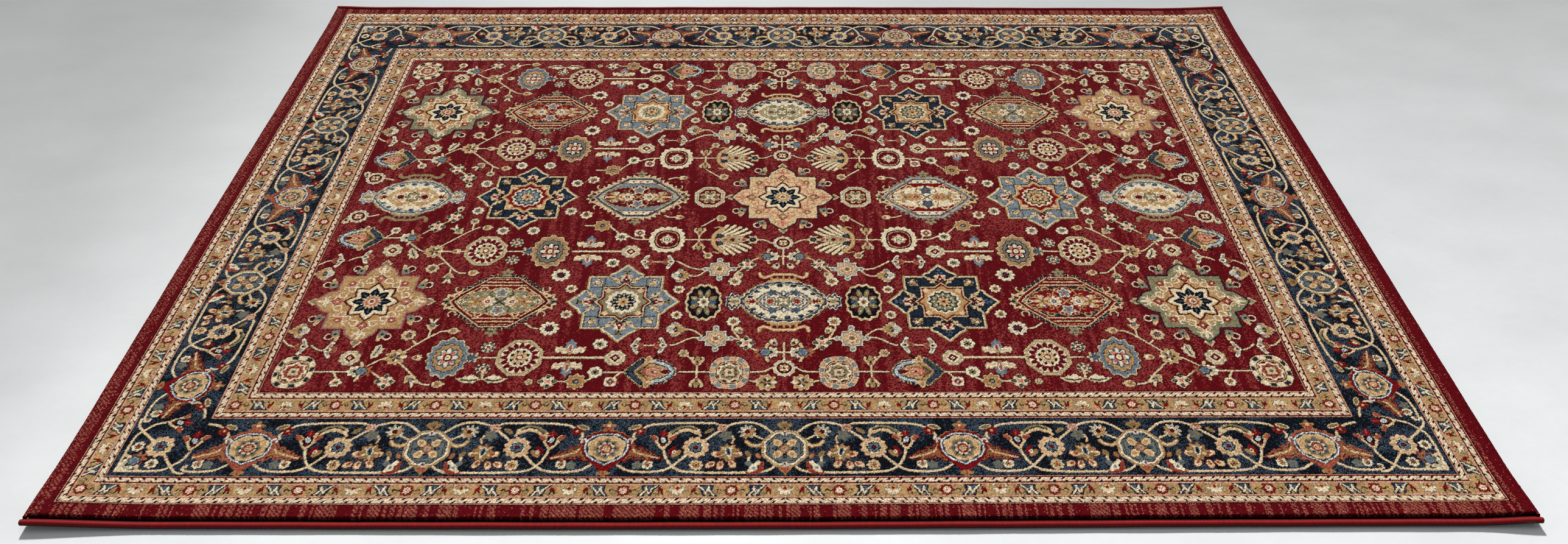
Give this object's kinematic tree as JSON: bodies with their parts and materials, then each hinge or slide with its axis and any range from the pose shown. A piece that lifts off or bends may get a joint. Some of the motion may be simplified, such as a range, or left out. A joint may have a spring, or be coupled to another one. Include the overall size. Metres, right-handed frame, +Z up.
{
  "type": "area rug",
  "caption": "Rectangular machine-woven pile rug with a bordered floral field, serged long sides and taped, rolled ends.",
  "frame": {"origin": "middle of the underside, on the floor", "axes": "+X along the length, +Y from the front long side to the back long side, +Z up through the pile"},
  "size_m": [2.904, 2.038, 0.013],
  "materials": {
    "back_coat": "matt latex sizing over a coarse weave",
    "woven_ground": "coarse jute and polyester ground weave",
    "end_tape": "herringbone cotton tape",
    "seam_thread": "twisted sewing thread",
    "edge_cord": "twisted filler cord",
    "serging_yarn": "tightly overcast yarn with a soft lustre",
    "red_pile": "dense cut pile, deep red with tan flecks and woven motifs",
    "gold_pile": "dense cut pile, gold ground with small woven motifs",
    "navy_pile": "dense cut pile, navy ground with a woven vine and rosettes"
  },
  "bodies": {
    "root": {"back_coat": "back_coat", "woven_ground": "woven_ground", "end_tape_left": "end_tape", "end_tape_right": "end_tape", "tape_seam_left": "seam_thread", "tape_seam_right": "seam_thread", "end_roll_pile_left": "red_pile", "end_roll_pile_right": "red_pile", "edge_cord_front": "edge_cord", "edge_cord_back": "edge_cord", "serging_front": "serging_yarn", "serging_back": "serging_yarn", "field_pile": "red_pile", "inner_guard_pile_front": "gold_pile", "inner_guard_pile_right": "gold_pile", "inner_guard_pile_back": "gold_pile", "inner_guard_pile_left": "gold_pile", "main_border_pile_front": "navy_pile", "main_border_pile_right": "navy_pile", "main_border_pile_back": "navy_pile", "main_border_pile_left": "navy_pile", "outer_guard_pile_front": "gold_pile", "outer_guard_pile_right": "gold_pile", "outer_guard_pile_back": "gold_pile", "outer_guard_pile_left": "gold_pile", "margin_pile_front": "red_pile", "margin_pile_right": "red_pile", "margin_pile_back": "red_pile", "margin_pile_left": "red_pile"}
  },
  "joints": []
}
